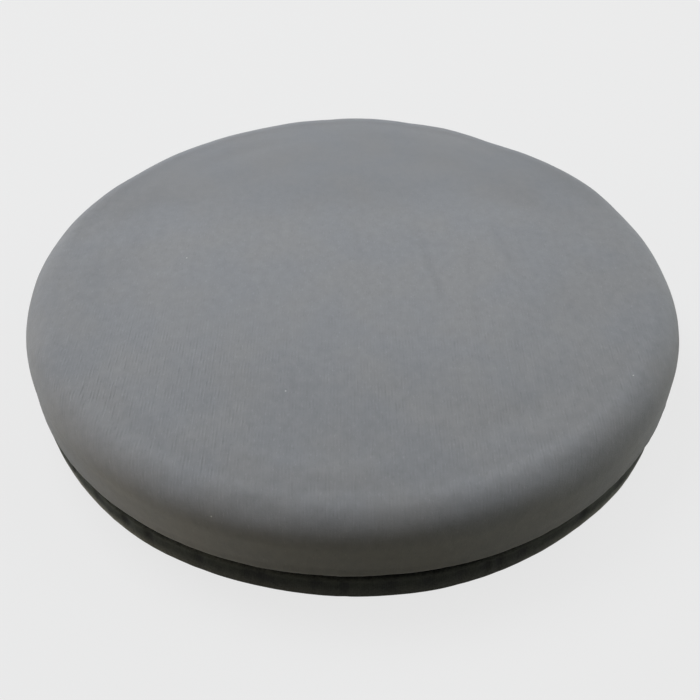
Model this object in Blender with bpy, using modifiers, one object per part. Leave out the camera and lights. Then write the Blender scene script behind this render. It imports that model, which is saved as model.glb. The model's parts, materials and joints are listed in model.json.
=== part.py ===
"""Swivel seat cushion: a round foam cushion that turns on a ring of steel balls in a low base.

The origin is the centre of the underside, on the surface that the cushion lies on.
+Z is the swivel axis.
"""

from math import asin, ceil, cos, pi, radians, sin, sqrt

import bmesh
import bpy
from mathutils import Euler, Matrix, Vector

MM = 0.001

# Clearances
FIT = 0.3 * MM            # between pieces that seat on each other
RUNNING_GAP = 0.8 * MM    # between the turning cover and the still rim
BALL_PLAY = 0.35 * MM     # round a ball, to its races and its pocket
PIVOT_PLAY = 0.25 * MM    # between the sleeve and its bushes
END_PLAY = 0.5 * MM       # along the pivot, at each end of the hub

# Cushion
CUSHION_RADIUS = 200 * MM
CUSHION_HEIGHT = 41.8 * MM    # cover underside to the top of its rim
CROWN = 4 * MM                # rise of the middle over the rim
SHOULDER_WIDTH = 21 * MM      # rounding of the top edge, inwards
SHOULDER_DROP = 19.5 * MM     # and downwards
HEEL_WIDTH = 6.4 * MM         # drawn-in lower edge, inwards
HEEL_HEIGHT = 5.6 * MM        # and upwards
COVER_CLOTH = 1.2 * MM
HEM_REACH = 24 * MM           # how far in the elastic of the hem lies
ELASTIC_RADIUS = 1.5 * MM
NUT_POCKET_RADIUS = 24 * MM   # hollow under the foam for the pivot's nut
NUT_POCKET_SPACE = 3 * MM     # air over the bolt's end

# Base
BASE_INSET = 1.5 * MM         # base cloth in from the cushion's side
BASE_CLOTH = 1.0 * MM
BASE_BELLY = 0.6 * MM         # how far the cloth stands out halfway up
BASE_FOOT_ROUND = 1.6 * MM
BASE_RIM_ROUND = 1.8 * MM
BASE_CLOTH_TURN_UNDER = 9 * MM
TRAY_FLOOR = 2.5 * MM
TRAY_WALL = 2.4 * MM
TRAY_EDGE = 0.8 * MM
TRAY_RIB_HEIGHT = 4.5 * MM
RIB_WIDTH = 1.8 * MM
TRAY_RIB_COUNT = 16
MAT_THICKNESS = 2.2 * MM
MAT_PROUD = 0.5 * MM          # how far the mat stands below the base cloth
MAT_MARGIN = 1.0 * MM         # mat edge to the turned-under cloth
MAT_TREAD_DEPTH = 0.8 * MM
MAT_TREAD_WIDTH = 3 * MM
MAT_TREAD_START = 60 * MM     # smallest ring tread
MAT_TREAD_PITCH = 50 * MM

# Ball bearing ring
RING_RADIUS = 110 * MM        # circle of the ball centres
BALL_RADIUS = 4 * MM
BALL_COUNT = 18
RACE_SHEET = 1.0 * MM
RACE_REACH = 60               # degrees that a race covers each side of the ball's pole
RING_SHOULDER = 4 * MM        # plastic each side of a race
LOWER_BED = 2.9 * MM          # plastic under the lower race, over the tray's floor
UPPER_BED = 2.0 * MM          # plastic over the upper race, up to the plate's top
CAGE_THICKNESS = 2.4 * MM
CAGE_WALL = 2.2 * MM          # beside each pocket

# Swivel plate
PLATE_INSET = 10 * MM         # plate's edge in from the cushion's side
PLATE_THICKNESS = 2.5 * MM
PLATE_RIB_DEPTH = 2.8 * MM
PLATE_RIB_COUNT = 12
HUB_WALL = 7.5 * MM

# Glide pads
PAD_INSET = 28 * MM           # circle of the pads, in from the hem's elastic
PAD_COUNT = 8
PAD_RADIUS = 8 * MM
PAD_HEAD = 2 * MM
PAD_STEM_RADIUS = 3 * MM
PAD_STEM_LENGTH = 6 * MM
POST_WALL = 3.5 * MM

# Pivot
SHANK_RADIUS = 4 * MM
HEAD_RADIUS = 9 * MM
HEAD_HEIGHT = 2.6 * MM
SOCKET_FLATS = 5 * MM
SOCKET_DEPTH = 1.7 * MM
WASHER_RADIUS = 12.5 * MM
WASHER_THICKNESS = 1.5 * MM
RECESS_MARGIN = 2 * MM        # washer edge to the recess wall
BOSS_WALL = 4 * MM
BOSS_THICKNESS = 3.8 * MM
SLEEVE_RADIUS = 8 * MM
BUSH_WALL = 1.75 * MM
BUSH_FLANGE = 1.5 * MM
BUSH_FLANGE_WIDTH = 5 * MM
BUSH_SPACING = 1.0 * MM       # between the two bushes, end to end
RETAINER_RADIUS = 17 * MM
RETAINER_THICKNESS = 2 * MM
NUT_FLATS = 13 * MM
NUT_HEIGHT = 6 * MM
BOLT_END = 1.5 * MM           # threads that show above the nut

# Facets
RING_STEPS = 48
CUSHION_STEPS = 36
SMALL_STEPS = 20

# Heights above the floor, from the mat up
mat_top = MAT_THICKNESS
tray_underside = mat_top + FIT
tray_lip = MAT_PROUD + BASE_CLOTH + FIT
floor_top = tray_underside + TRAY_FLOOR
bed_radius = BALL_RADIUS + BALL_PLAY + RACE_SHEET + FIT
ball_height = floor_top + LOWER_BED + bed_radius
plate_top = ball_height + bed_radius + UPPER_BED
plate_underside = plate_top - PLATE_THICKNESS
cover_underside = plate_underside - FIT - COVER_CLOTH
rim_top = cover_underside - RUNNING_GAP
tray_rim = rim_top - BASE_CLOTH - FIT
tray_rib_top = floor_top + TRAY_RIB_HEIGHT
head_underside = mat_top + FIT
washer_underside = head_underside + HEAD_HEIGHT + FIT
recess_ceiling = washer_underside + WASHER_THICKNESS + FIT
boss_top = recess_ceiling + BOSS_THICKNESS
hub_underside = boss_top + END_PLAY + BUSH_FLANGE + FIT
upper_flange_top = plate_top + FIT + BUSH_FLANGE
sleeve_top = upper_flange_top + END_PLAY
retainer_underside = sleeve_top + FIT
nut_underside = retainer_underside + RETAINER_THICKNESS + FIT
bolt_top = nut_underside + NUT_HEIGHT + BOLT_END

# Radii that follow from their neighbours
hem_radius = CUSHION_RADIUS - HEM_REACH
base_radius = CUSHION_RADIUS - BASE_INSET
plate_radius = CUSHION_RADIUS - PLATE_INSET
pad_circle = hem_radius - PAD_INSET
hole_radius = SHANK_RADIUS + FIT
recess_radius = WASHER_RADIUS + RECESS_MARGIN
boss_radius = recess_radius + BOSS_WALL
bush_bore = SLEEVE_RADIUS + PIVOT_PLAY
bush_radius = bush_bore + BUSH_WALL
hub_bore = bush_radius + FIT
hub_radius = hub_bore + HUB_WALL
bed_half_width = bed_radius * sin(radians(RACE_REACH))
bed_edge = bed_radius * cos(radians(RACE_REACH))
ring_inside = RING_RADIUS - bed_half_width - RING_SHOULDER
ring_outside = RING_RADIUS + bed_half_width + RING_SHOULDER
tray_radius = base_radius - BASE_CLOTH - FIT
tray_inside = tray_radius - TRAY_WALL
cloth_turn_under = base_radius - BASE_FOOT_ROUND - BASE_CLOTH_TURN_UNDER
mat_radius = cloth_turn_under - MAT_MARGIN
tray_recess = cloth_turn_under - MAT_MARGIN / 2
post_radius = PAD_STEM_RADIUS + FIT + POST_WALL


def clear_scene():
    """Removes what the file opened with."""
    for item in list(bpy.data.objects):
        bpy.data.objects.remove(item)


def new_collection(name):
    """A collection in the scene."""
    collection = bpy.data.collections.new(name)
    bpy.context.scene.collection.children.link(collection)
    return collection


def finish(name, colour, roughness, metallic=0.0):
    """A plain material with the part's colour."""
    material = bpy.data.materials.new(name)
    material.use_nodes = True
    shader = material.node_tree.nodes["Principled BSDF"]
    shader.inputs["Base Color"].default_value = (*colour, 1.0)
    shader.inputs["Roughness"].default_value = roughness
    shader.inputs["Metallic"].default_value = metallic
    material.diffuse_color = (*colour, 1.0)
    return material


def arc(centre, radii, start, end, segments):
    """Points on an ellipse in the XZ plane, from one angle to another, in degrees from +X towards +Z."""
    points = []
    for index in range(segments + 1):
        angle = radians(start + (end - start) * index / segments)
        points.append((centre[0] + radii[0] * cos(angle), centre[1] + radii[1] * sin(angle)))
    return points


def add_mesh(name, mesh, material, collection):
    """An object for a mesh, in a collection."""
    part = bpy.data.objects.new(name, mesh)
    part.data.materials.append(material)
    collection.objects.link(part)
    return part


def turned(name, profile, material, collection, steps=RING_STEPS, closed=True):
    """Turns a profile of (radius, height) points about the swivel axis."""
    mesh = bpy.data.meshes.new(name)
    vertices = [(radius, 0.0, height) for radius, height in profile]
    edges = [(index, index + 1) for index in range(len(vertices) - 1)]
    if closed:
        edges.append((len(vertices) - 1, 0))
    mesh.from_pydata(vertices, edges, [])
    part = add_mesh(name, mesh, material, collection)
    screw = part.modifiers.new("turn", "SCREW")
    screw.axis = "Z"
    screw.angle = 2 * pi
    screw.steps = steps
    screw.render_steps = steps
    screw.use_merge_vertices = True
    screw.merge_threshold = 0.00001
    return part


def thicken(part, thickness):
    """Gives an open surface its cloth thickness, inwards."""
    solidify = part.modifiers.new("cloth", "SOLIDIFY")
    solidify.thickness = thickness
    solidify.offset = -1.0
    solidify.use_even_offset = True


def combine(part, operation, tool):
    """Cuts or joins a part with a tool that stays hidden."""
    boolean = part.modifiers.new(tool.name, "BOOLEAN")
    boolean.operation = operation
    boolean.solver = "EXACT"
    boolean.object = tool


def hide_tool(tool):
    """Marks a cutter, so that it is seen as wire and never rendered."""
    tool.hide_render = True
    tool.display_type = "WIRE"


def cylinders(name, places, radius, low, high, sides, cutters):
    """A tool of upright prisms of equal size, one at each place."""
    shape = bmesh.new()
    for x, y, turn in places:
        matrix = Matrix.Translation((x, y, (low + high) / 2)) @ Matrix.Rotation(turn, 4, "Z")
        bmesh.ops.create_cone(shape, cap_ends=True, segments=sides, radius1=radius, radius2=radius,
                              depth=high - low, matrix=matrix)
    mesh = bpy.data.meshes.new(name)
    shape.to_mesh(mesh)
    shape.free()
    tool = bpy.data.objects.new(name, mesh)
    cutters.objects.link(tool)
    hide_tool(tool)
    return tool


def spokes(name, count, first_turn, inner, outer, low, high, width, cutters):
    """A tool of upright ribs that point away from the axis."""
    shape = bmesh.new()
    size = Matrix.Diagonal((outer - inner, width, high - low, 1.0))
    for index in range(count):
        turn = Matrix.Rotation(first_turn + 2 * pi * index / count, 4, "Z")
        shift = Matrix.Translation(((inner + outer) / 2, 0.0, (low + high) / 2))
        bmesh.ops.create_cube(shape, size=1.0, matrix=turn @ shift @ size)
    mesh = bpy.data.meshes.new(name)
    shape.to_mesh(mesh)
    shape.free()
    tool = bpy.data.objects.new(name, mesh)
    cutters.objects.link(tool)
    hide_tool(tool)
    return tool


def on_circle(radius, count):
    """Evenly spaced places on a circle, each with its turn about Z."""
    places = []
    for index in range(count):
        turn = 2 * pi * index / count
        places.append((radius * cos(turn), radius * sin(turn), turn))
    return places


# Base

def make_mat(material, collection):
    """The rubber mat, with ring treads moulded in its underside."""
    count = int((mat_radius - MAT_TREAD_WIDTH - MAT_TREAD_START) / MAT_TREAD_PITCH) + 1
    profile = [(0.0, mat_top), (mat_radius, mat_top), (mat_radius, 0.0)]
    for index in reversed(range(count)):
        outer = MAT_TREAD_START + MAT_TREAD_PITCH * index + MAT_TREAD_WIDTH / 2
        inner = outer - MAT_TREAD_WIDTH
        profile += [(outer, 0.0), (outer, MAT_TREAD_DEPTH), (inner, MAT_TREAD_DEPTH), (inner, 0.0)]
    profile.append((0.0, 0.0))
    return turned("anti_slip_mat", profile, material, collection, closed=False)


def make_tray(material, collection, cutters):
    """The moulded tray: rim wall, ring bed for the lower race, centre boss, ribs and glide pad posts."""
    bed = arc((RING_RADIUS, ball_height), (bed_radius, bed_radius), -90 - RACE_REACH, -90 + RACE_REACH, 5)
    profile = [
        (tray_inside, tray_rim),
        (tray_radius - TRAY_EDGE, tray_rim),
        (tray_radius, tray_rim - TRAY_EDGE),
        (tray_radius, tray_lip + BASE_FOOT_ROUND - BASE_CLOTH),
        (tray_radius - BASE_FOOT_ROUND + BASE_CLOTH, tray_lip),
        (tray_recess, tray_lip),
        (tray_recess, tray_underside),
        (recess_radius, tray_underside),
        (recess_radius, recess_ceiling),
        (hole_radius, recess_ceiling),
        (hole_radius, boss_top),
        (boss_radius, boss_top),
        (boss_radius, floor_top),
        (ring_inside, floor_top),
        (ring_inside, ball_height - bed_edge),
    ] + bed + [
        (ring_outside, ball_height - bed_edge),
        (ring_outside, floor_top),
        (tray_inside, floor_top),
    ]
    tray = turned("base_tray", profile, material, collection)
    root = TRAY_FLOOR / 2
    half_step = pi / TRAY_RIB_COUNT
    inner = spokes("tray_inner_ribs", TRAY_RIB_COUNT // 2, half_step, boss_radius - root, ring_inside + root,
                   floor_top - root, tray_rib_top, RIB_WIDTH, cutters)
    outer = spokes("tray_outer_ribs", TRAY_RIB_COUNT, half_step, ring_outside - root, tray_inside + root,
                   floor_top - root, tray_rib_top, RIB_WIDTH, cutters)
    post_top = plate_underside - FIT - PAD_HEAD - FIT
    places = on_circle(pad_circle, PAD_COUNT)
    posts = cylinders("pad_posts", places, post_radius, floor_top - root, post_top, 14, cutters)
    sockets = cylinders("pad_sockets", places, PAD_STEM_RADIUS + FIT, post_top - PAD_STEM_LENGTH - FIT,
                        post_top + FIT, 10, cutters)
    combine(tray, "UNION", inner)
    combine(tray, "UNION", outer)
    combine(tray, "UNION", posts)
    combine(tray, "DIFFERENCE", sockets)
    return tray


def make_base_cover(material, collection):
    """The black cloth drawn round the tray's wall, turned under the foot and in over the rim."""
    flap_bottom = tray_rib_top + 2 * FIT
    inside = tray_inside - FIT - BASE_CLOTH
    belly_height = (rim_top - BASE_RIM_ROUND + MAT_PROUD + BASE_FOOT_ROUND) / 2
    rim = arc((base_radius - BASE_RIM_ROUND, rim_top - BASE_RIM_ROUND),
              (BASE_RIM_ROUND, BASE_RIM_ROUND), 90, 0, 2)
    foot = arc((base_radius - BASE_FOOT_ROUND, MAT_PROUD + BASE_FOOT_ROUND),
               (BASE_FOOT_ROUND, BASE_FOOT_ROUND), 0, -90, 2)
    profile = [(inside, flap_bottom), (inside, rim_top)]
    profile += rim
    profile.append((base_radius + BASE_BELLY, belly_height))
    profile += foot
    profile.append((cloth_turn_under, MAT_PROUD))
    cover = turned("base_cover", profile, material, collection, closed=False)
    thicken(cover, BASE_CLOTH)
    return cover


def make_glide_pads(material, collection):
    """Low-friction buttons, each with its stem in a post of the tray."""
    post_top = plate_underside - FIT - PAD_HEAD - FIT
    head = PAD_HEAD * 0.35
    shape = [
        (0.0, PAD_HEAD + FIT),
        (PAD_RADIUS - head, PAD_HEAD + FIT),
        (PAD_RADIUS, PAD_HEAD + FIT - head),
        (PAD_RADIUS, FIT),
        (PAD_STEM_RADIUS, FIT),
        (PAD_STEM_RADIUS, FIT - PAD_STEM_LENGTH),
        (0.0, FIT - PAD_STEM_LENGTH),
    ]
    pads = []
    for index, (x, y, turn) in enumerate(on_circle(pad_circle, PAD_COUNT), start=1):
        pad = turned(f"glide_pad_{index}", shape, material, collection, steps=10, closed=False)
        pad.location = (x, y, post_top)
        pad.rotation_euler = Euler((0.0, 0.0, turn))
        pads.append(pad)
    return pads


# Ball bearing ring

def make_race(name, side, material, collection):
    """A pressed steel race, under the balls with side -1 and over them with side 1."""
    inner = BALL_RADIUS + BALL_PLAY
    outer = inner + RACE_SHEET
    pole = 90 * side
    centre = (RING_RADIUS, ball_height)
    groove = arc(centre, (inner, inner), pole - RACE_REACH, pole + RACE_REACH, 5)
    back = arc(centre, (outer, outer), pole + RACE_REACH, pole - RACE_REACH, 5)
    return turned(name, groove + back, material, collection)


def make_cage(material, collection, cutters):
    """The ring that spaces the balls, with a round pocket for each."""
    half_width = BALL_RADIUS + BALL_PLAY + CAGE_WALL
    low = ball_height - CAGE_THICKNESS / 2
    high = ball_height + CAGE_THICKNESS / 2
    profile = [
        (RING_RADIUS - half_width, high),
        (RING_RADIUS + half_width, high),
        (RING_RADIUS + half_width, low),
        (RING_RADIUS - half_width, low),
    ]
    cage = turned("ball_cage", profile, material, collection, steps=BALL_COUNT * 2)
    pockets = cylinders("cage_pockets", on_circle(RING_RADIUS, BALL_COUNT), BALL_RADIUS + BALL_PLAY,
                        low - FIT, high + FIT, 10, cutters)
    combine(cage, "DIFFERENCE", pockets)
    return cage


def make_balls(material, collection):
    """Steel balls, each in its own pocket, with its pole on its roll axis."""
    shape = bmesh.new()
    bmesh.ops.create_uvsphere(shape, u_segments=10, v_segments=6, radius=BALL_RADIUS,
                              matrix=Matrix.Rotation(pi / 2, 4, "Y"))
    mesh = bpy.data.meshes.new("ball")
    shape.to_mesh(mesh)
    shape.free()
    mesh.materials.append(material)
    balls = []
    for index, (x, y, turn) in enumerate(on_circle(RING_RADIUS, BALL_COUNT), start=1):
        ball = bpy.data.objects.new(f"ball_{index:02d}", mesh)
        ball.location = (x, y, ball_height)
        ball.rotation_euler = Euler((0.0, 0.0, turn))
        collection.objects.link(ball)
        balls.append(ball)
    return balls


# Pivot

def make_bolt(material, collection, cutters):
    """The pivot bolt, head down in the tray's recess."""
    chamfer = SHANK_RADIUS * 0.15
    profile = [
        (0.0, bolt_top),
        (SHANK_RADIUS - chamfer, bolt_top),
        (SHANK_RADIUS, bolt_top - chamfer),
        (SHANK_RADIUS, head_underside + HEAD_HEIGHT),
        (HEAD_RADIUS, head_underside + HEAD_HEIGHT),
        (HEAD_RADIUS, head_underside + chamfer),
        (HEAD_RADIUS - chamfer, head_underside),
        (0.0, head_underside),
    ]
    bolt = turned("pivot_bolt", profile, material, collection, steps=SMALL_STEPS, closed=False)
    socket = cylinders("bolt_socket", [(0.0, 0.0, 0.0)], SOCKET_FLATS / sqrt(3), head_underside - FIT,
                       head_underside + SOCKET_DEPTH, 6, cutters)
    combine(bolt, "DIFFERENCE", socket)
    return bolt


def make_ring(name, inner, outer, low, high, material, collection):
    """A plain ring, such as a washer or a sleeve."""
    profile = [(inner, high), (outer, high), (outer, low), (inner, low)]
    return turned(name, profile, material, collection, steps=SMALL_STEPS)


def make_nut(material, collection, cutters):
    """The lock nut: a hexagon with its corners turned off."""
    across_corners = NUT_FLATS / sqrt(3)
    chamfer = across_corners - NUT_FLATS / 2
    profile = [
        (hole_radius, nut_underside + NUT_HEIGHT),
        (across_corners - chamfer, nut_underside + NUT_HEIGHT),
        (across_corners + FIT, nut_underside + NUT_HEIGHT - chamfer),
        (across_corners + FIT, nut_underside),
        (hole_radius, nut_underside),
    ]
    nut = turned("lock_nut", profile, material, collection, steps=SMALL_STEPS)
    hexagon = cylinders("nut_hexagon", [(0.0, 0.0, 0.0)], across_corners, nut_underside - FIT,
                        nut_underside + NUT_HEIGHT + FIT, 6, cutters)
    combine(nut, "INTERSECT", hexagon)
    return nut


def make_bush(name, side, material, collection):
    """A flanged bush, under the hub with side -1 and over it with side 1."""
    middle = (hub_underside + plate_top) / 2
    face = plate_top + FIT if side > 0 else hub_underside - FIT
    levels = (face + side * BUSH_FLANGE, face, middle + side * BUSH_SPACING / 2)
    flange = bush_radius + BUSH_FLANGE_WIDTH
    profile = [
        (bush_bore, levels[0]),
        (flange, levels[0]),
        (flange, levels[1]),
        (bush_radius, levels[1]),
        (bush_radius, levels[2]),
        (bush_bore, levels[2]),
    ]
    if side < 0:
        profile.reverse()
    return turned(name, profile, material, collection, steps=SMALL_STEPS)


# Seat

def make_plate(material, collection, cutters):
    """The swivel plate: disc, hub, ring boss with the upper race's bed, and ribs."""
    bed = arc((RING_RADIUS, ball_height), (bed_radius, bed_radius), 90 - RACE_REACH, 90 + RACE_REACH, 5)
    profile = [
        (hub_bore, plate_top),
        (plate_radius - TRAY_EDGE, plate_top),
        (plate_radius, plate_top - TRAY_EDGE),
        (plate_radius, plate_underside),
        (ring_outside, plate_underside),
        (ring_outside, ball_height + bed_edge),
    ] + bed + [
        (ring_inside, ball_height + bed_edge),
        (ring_inside, plate_underside),
        (hub_radius, plate_underside),
        (hub_radius, hub_underside),
        (hub_bore, hub_underside),
    ]
    plate = turned("swivel_plate", profile, material, collection)
    root = PLATE_THICKNESS / 2
    track = pad_circle - PAD_RADIUS - END_PLAY
    inner = spokes("plate_inner_ribs", PLATE_RIB_COUNT, 0.0, hub_radius - root, ring_inside + root,
                   plate_underside - PLATE_RIB_DEPTH, plate_underside + root, RIB_WIDTH, cutters)
    outer = spokes("plate_outer_ribs", PLATE_RIB_COUNT, 0.0, ring_outside - root, track,
                   plate_underside - PLATE_RIB_DEPTH, plate_underside + root, RIB_WIDTH, cutters)
    combine(plate, "UNION", inner)
    combine(plate, "UNION", outer)
    return plate


def cushion_outline(inset, bottom):
    """The cushion's outline, set in by a distance, from the crown out and down to a given height."""
    rim = cover_underside + CUSHION_HEIGHT
    shoulder = (CUSHION_RADIUS - SHOULDER_WIDTH, rim - SHOULDER_DROP)
    points = []
    for share in (0.0, 0.6):
        radius = shoulder[0] * share
        points.append((radius, rim + CROWN * (1 - share ** 2) - inset))
    points += arc(shoulder, (SHOULDER_WIDTH - inset, SHOULDER_DROP - inset), 90, 0, 5)
    heel = (CUSHION_RADIUS - HEEL_WIDTH, cover_underside + HEEL_HEIGHT)
    width = HEEL_WIDTH - inset
    height = HEEL_HEIGHT - inset
    drop = min(max(heel[1] - bottom, 0.0), height)
    turn = asin(drop / height) * 180 / pi
    segments = max(1, ceil(turn / 30))
    points += arc((heel[0], max(heel[1], bottom)), (width, height), 0, -turn, segments)
    return points


def make_foam(material, collection):
    """The foam disc, crowned, rounded at its shoulder, with a pocket over the pivot's nut."""
    bottom = plate_top + FIT
    pocket_top = bolt_top + NUT_POCKET_SPACE
    outline = cushion_outline(COVER_CLOTH + FIT, bottom)
    profile = outline + [(NUT_POCKET_RADIUS, bottom), (NUT_POCKET_RADIUS, pocket_top), (0.0, pocket_top)]
    return turned("foam_pad", profile, material, collection, steps=CUSHION_STEPS, closed=False)


def make_cover(material, collection):
    """The knit cover: crown, side and drawn-in underside, with its hem rolled round the elastic."""
    roll = ELASTIC_RADIUS + FIT
    hem = arc((hem_radius, cover_underside - roll), (roll, roll), 90, 335, 5)
    profile = cushion_outline(0.0, cover_underside) + hem
    cover = turned("seat_cover", profile, material, collection, steps=CUSHION_STEPS, closed=False)
    thicken(cover, COVER_CLOTH)
    return cover


def make_elastic(material, collection):
    """The elastic in the cover's hem."""
    bpy.ops.mesh.primitive_torus_add(major_radius=hem_radius, minor_radius=ELASTIC_RADIUS,
                                     major_segments=CUSHION_STEPS, minor_segments=6,
                                     location=(0.0, 0.0, cover_underside - ELASTIC_RADIUS - FIT))
    elastic = bpy.context.object
    elastic.name = "cover_elastic"
    elastic.data.materials.append(material)
    for holder in list(elastic.users_collection):
        holder.objects.unlink(elastic)
    collection.objects.link(elastic)
    return elastic


def settle(part):
    """Applies a part's modifiers and shades it smooth, with its real corners kept sharp."""
    graph = bpy.context.evaluated_depsgraph_get()
    mesh = bpy.data.meshes.new_from_object(part.evaluated_get(graph))
    part.modifiers.clear()
    part.data = mesh
    mesh.shade_smooth()
    mesh.set_sharp_from_angle(angle=radians(35))


def add_axis(name, place, direction):
    """An empty on a joint's axis, with its Z along it."""
    axis = bpy.data.objects.new(name, None)
    axis.empty_display_type = "SINGLE_ARROW"
    axis.empty_display_size = CUSHION_RADIUS / 4
    axis.location = place
    axis.rotation_euler = Vector(direction).to_track_quat("Z", "Y").to_euler()
    bpy.context.scene.collection.objects.link(axis)
    return axis


def hang_on(axis, parts):
    """Parents parts to a joint's axis without moving them."""
    bpy.context.view_layer.update()
    for part in parts:
        part.parent = axis
        part.matrix_parent_inverse = axis.matrix_world.inverted()


def main():
    clear_scene()
    parts = new_collection("swivel_seat_cushion")
    cutters = new_collection("cutters")

    knit = finish("grey_knit", (0.22, 0.22, 0.22), 0.95)
    base_cloth = finish("black_cloth", (0.012, 0.012, 0.012), 0.9)
    rubber = finish("black_rubber", (0.02, 0.02, 0.02), 0.8)
    tray_plastic = finish("black_polypropylene", (0.03, 0.03, 0.03), 0.5)
    plate_plastic = finish("grey_polypropylene", (0.25, 0.25, 0.26), 0.45)
    acetal = finish("white_acetal", (0.8, 0.8, 0.78), 0.35)
    steel = finish("zinc_plated_steel", (0.62, 0.62, 0.6), 0.3, 1.0)
    ball_steel = finish("bearing_steel", (0.7, 0.7, 0.7), 0.12, 1.0)
    foam = finish("cream_foam", (0.75, 0.68, 0.48), 0.95)
    elastic = finish("white_elastic", (0.75, 0.75, 0.73), 0.85)

    base = [
        make_mat(rubber, parts),
        make_tray(tray_plastic, parts, cutters),
        make_base_cover(base_cloth, parts),
        make_race("lower_race", -1, steel, parts),
        make_bolt(steel, parts, cutters),
        make_ring("bolt_washer", hole_radius, WASHER_RADIUS, washer_underside,
                  washer_underside + WASHER_THICKNESS, steel, parts),
        make_ring("pivot_sleeve", hole_radius, SLEEVE_RADIUS, boss_top + FIT, sleeve_top, steel, parts),
        make_ring("retaining_washer", hole_radius, RETAINER_RADIUS, retainer_underside,
                  retainer_underside + RETAINER_THICKNESS, steel, parts),
        make_nut(steel, parts, cutters),
    ]
    base += make_glide_pads(acetal, parts)
    cage = make_cage(acetal, parts, cutters)
    balls = make_balls(ball_steel, parts)
    seat = [
        make_plate(plate_plastic, parts, cutters),
        make_race("upper_race", 1, steel, parts),
        make_bush("pivot_bush_lower", -1, acetal, parts),
        make_bush("pivot_bush_upper", 1, acetal, parts),
        make_foam(foam, parts),
        make_cover(knit, parts),
        make_elastic(elastic, parts),
    ]

    for part in base + [cage] + seat:
        settle(part)
    for ball in balls:
        ball.data.shade_smooth()

    seat_axis = add_axis("seat_swivel_axis", (0.0, 0.0, 0.0), (0.0, 0.0, 1.0))
    hang_on(seat_axis, seat)
    cage_axis = add_axis("cage_spin_axis", (0.0, 0.0, 0.0), (0.0, 0.0, 1.0))
    hang_on(cage_axis, [cage])
    for index, ball in enumerate(balls, start=1):
        outward = (ball.location.x, ball.location.y, 0.0)
        roll_axis = add_axis(f"ball_{index:02d}_roll_axis", ball.location, outward)
        hang_on(roll_axis, [ball])
        roll_axis.parent = cage_axis


main()
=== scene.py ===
"""Looks of the swivel seat cushion: a grey brushed knit cushion on a low base in black cloth."""

import json
import math
from random import Random

import bmesh
import bpy
import numpy as np
from mathutils import Matrix, Vector, kdtree, noise


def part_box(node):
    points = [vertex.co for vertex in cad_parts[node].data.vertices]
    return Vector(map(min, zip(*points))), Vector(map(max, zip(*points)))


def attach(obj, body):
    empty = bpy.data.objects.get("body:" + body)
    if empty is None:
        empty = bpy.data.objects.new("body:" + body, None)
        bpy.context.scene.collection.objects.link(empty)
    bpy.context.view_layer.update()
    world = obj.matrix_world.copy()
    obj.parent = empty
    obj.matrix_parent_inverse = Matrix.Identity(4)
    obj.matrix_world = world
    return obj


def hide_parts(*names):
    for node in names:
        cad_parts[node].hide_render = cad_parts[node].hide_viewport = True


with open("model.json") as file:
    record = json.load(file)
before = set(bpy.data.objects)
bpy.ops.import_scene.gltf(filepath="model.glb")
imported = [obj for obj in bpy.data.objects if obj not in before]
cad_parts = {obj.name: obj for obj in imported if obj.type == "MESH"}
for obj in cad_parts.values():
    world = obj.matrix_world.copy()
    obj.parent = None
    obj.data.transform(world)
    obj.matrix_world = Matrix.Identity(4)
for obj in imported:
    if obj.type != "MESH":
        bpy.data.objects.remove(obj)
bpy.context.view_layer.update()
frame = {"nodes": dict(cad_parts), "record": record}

MM = 0.001

# Where the pieces lie, from the frame
COVER_LOW, COVER_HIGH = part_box("seat_cover")
FOAM_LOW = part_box("foam_pad")[0]
ELASTIC_LOW, ELASTIC_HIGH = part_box("cover_elastic")
BASE_LOW, BASE_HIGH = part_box("base_cover")
TRAY_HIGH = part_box("base_tray")[1]
MAT_LOW, MAT_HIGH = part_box("anti_slip_mat")

# Cushion
CUSHION_RADIUS = COVER_HIGH.x
CROWN = 4 * MM                # rise of the middle over the rim
SHOULDER_WIDTH = 21 * MM
SHOULDER_DROP = 19.5 * MM
HEEL_WIDTH = 6.4 * MM         # drawn-in lower edge
HEEL_HEIGHT = 5.6 * MM
KNIT = 1.2 * MM
FIT = 0.3 * MM
HEM_ROLL = 1.8 * MM           # the hem, rolled round its elastic
HEM_REACH = 24 * MM           # how far in the elastic of the hem lies
HEM_RADIUS = CUSHION_RADIUS - HEM_REACH
UNDERSIDE = COVER_LOW.z + KNIT + 2 * HEM_ROLL
RIM = COVER_HIGH.z - CROWN
ELASTIC_RADIUS = 1.5 * MM
POCKET_RADIUS = 24 * MM       # hollow in the foam over the pivot's nut
POCKET_DEPTH = 15 * MM

# The cushion's cloth simulation
PAD_VOXEL = 6 * MM
PAD_PRESSURE = 0.3
PAD_GROWTH = 0.004            # the cover is cut this share larger than the pad
PAD_FRAMES = 20
PAD_CAP = 8 * MM              # the most that a point may move
PAD_HELD = 3 * MM             # the underside is held up to this height
PAD_NEIGHBOURS = 8            # simulated points that move a point of the finer cover,
PAD_BLUR = 1.2 * PAD_VOXEL    # and how near one has to be to count for much

# The pad starts narrower, by a share of the way along its outline, and its top starts lower. From full depth
# in the middle, that goes to nothing over the turn, which ends a little past the start of the shoulder.
PAD_NARROWER = 0.0036
PAD_LOWER = 4.7 * MM
PAD_LOWER_TURN = 40 * MM
PAD_LOWER_END = 12 * MM

# Base
BASE_INSET = 1.5 * MM         # base cloth in from the cushion's side
BASE_RADIUS = CUSHION_RADIUS - BASE_INSET
BASE_CLOTH = 1.0 * MM
BASE_BELLY = 0.6 * MM         # how far the cloth stands out halfway up
BASE_FOOT_ROUND = 1.6 * MM
BASE_RIM_ROUND = 1.8 * MM
BASE_TURN_UNDER = 9 * MM
BASE_FLAP = 5.4 * MM          # how far the cloth reaches down inside the rim
TRAY_WALL = 2.4 * MM
BASE_INSIDE = TRAY_HIGH.x - TRAY_WALL - FIT - BASE_CLOTH

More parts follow.
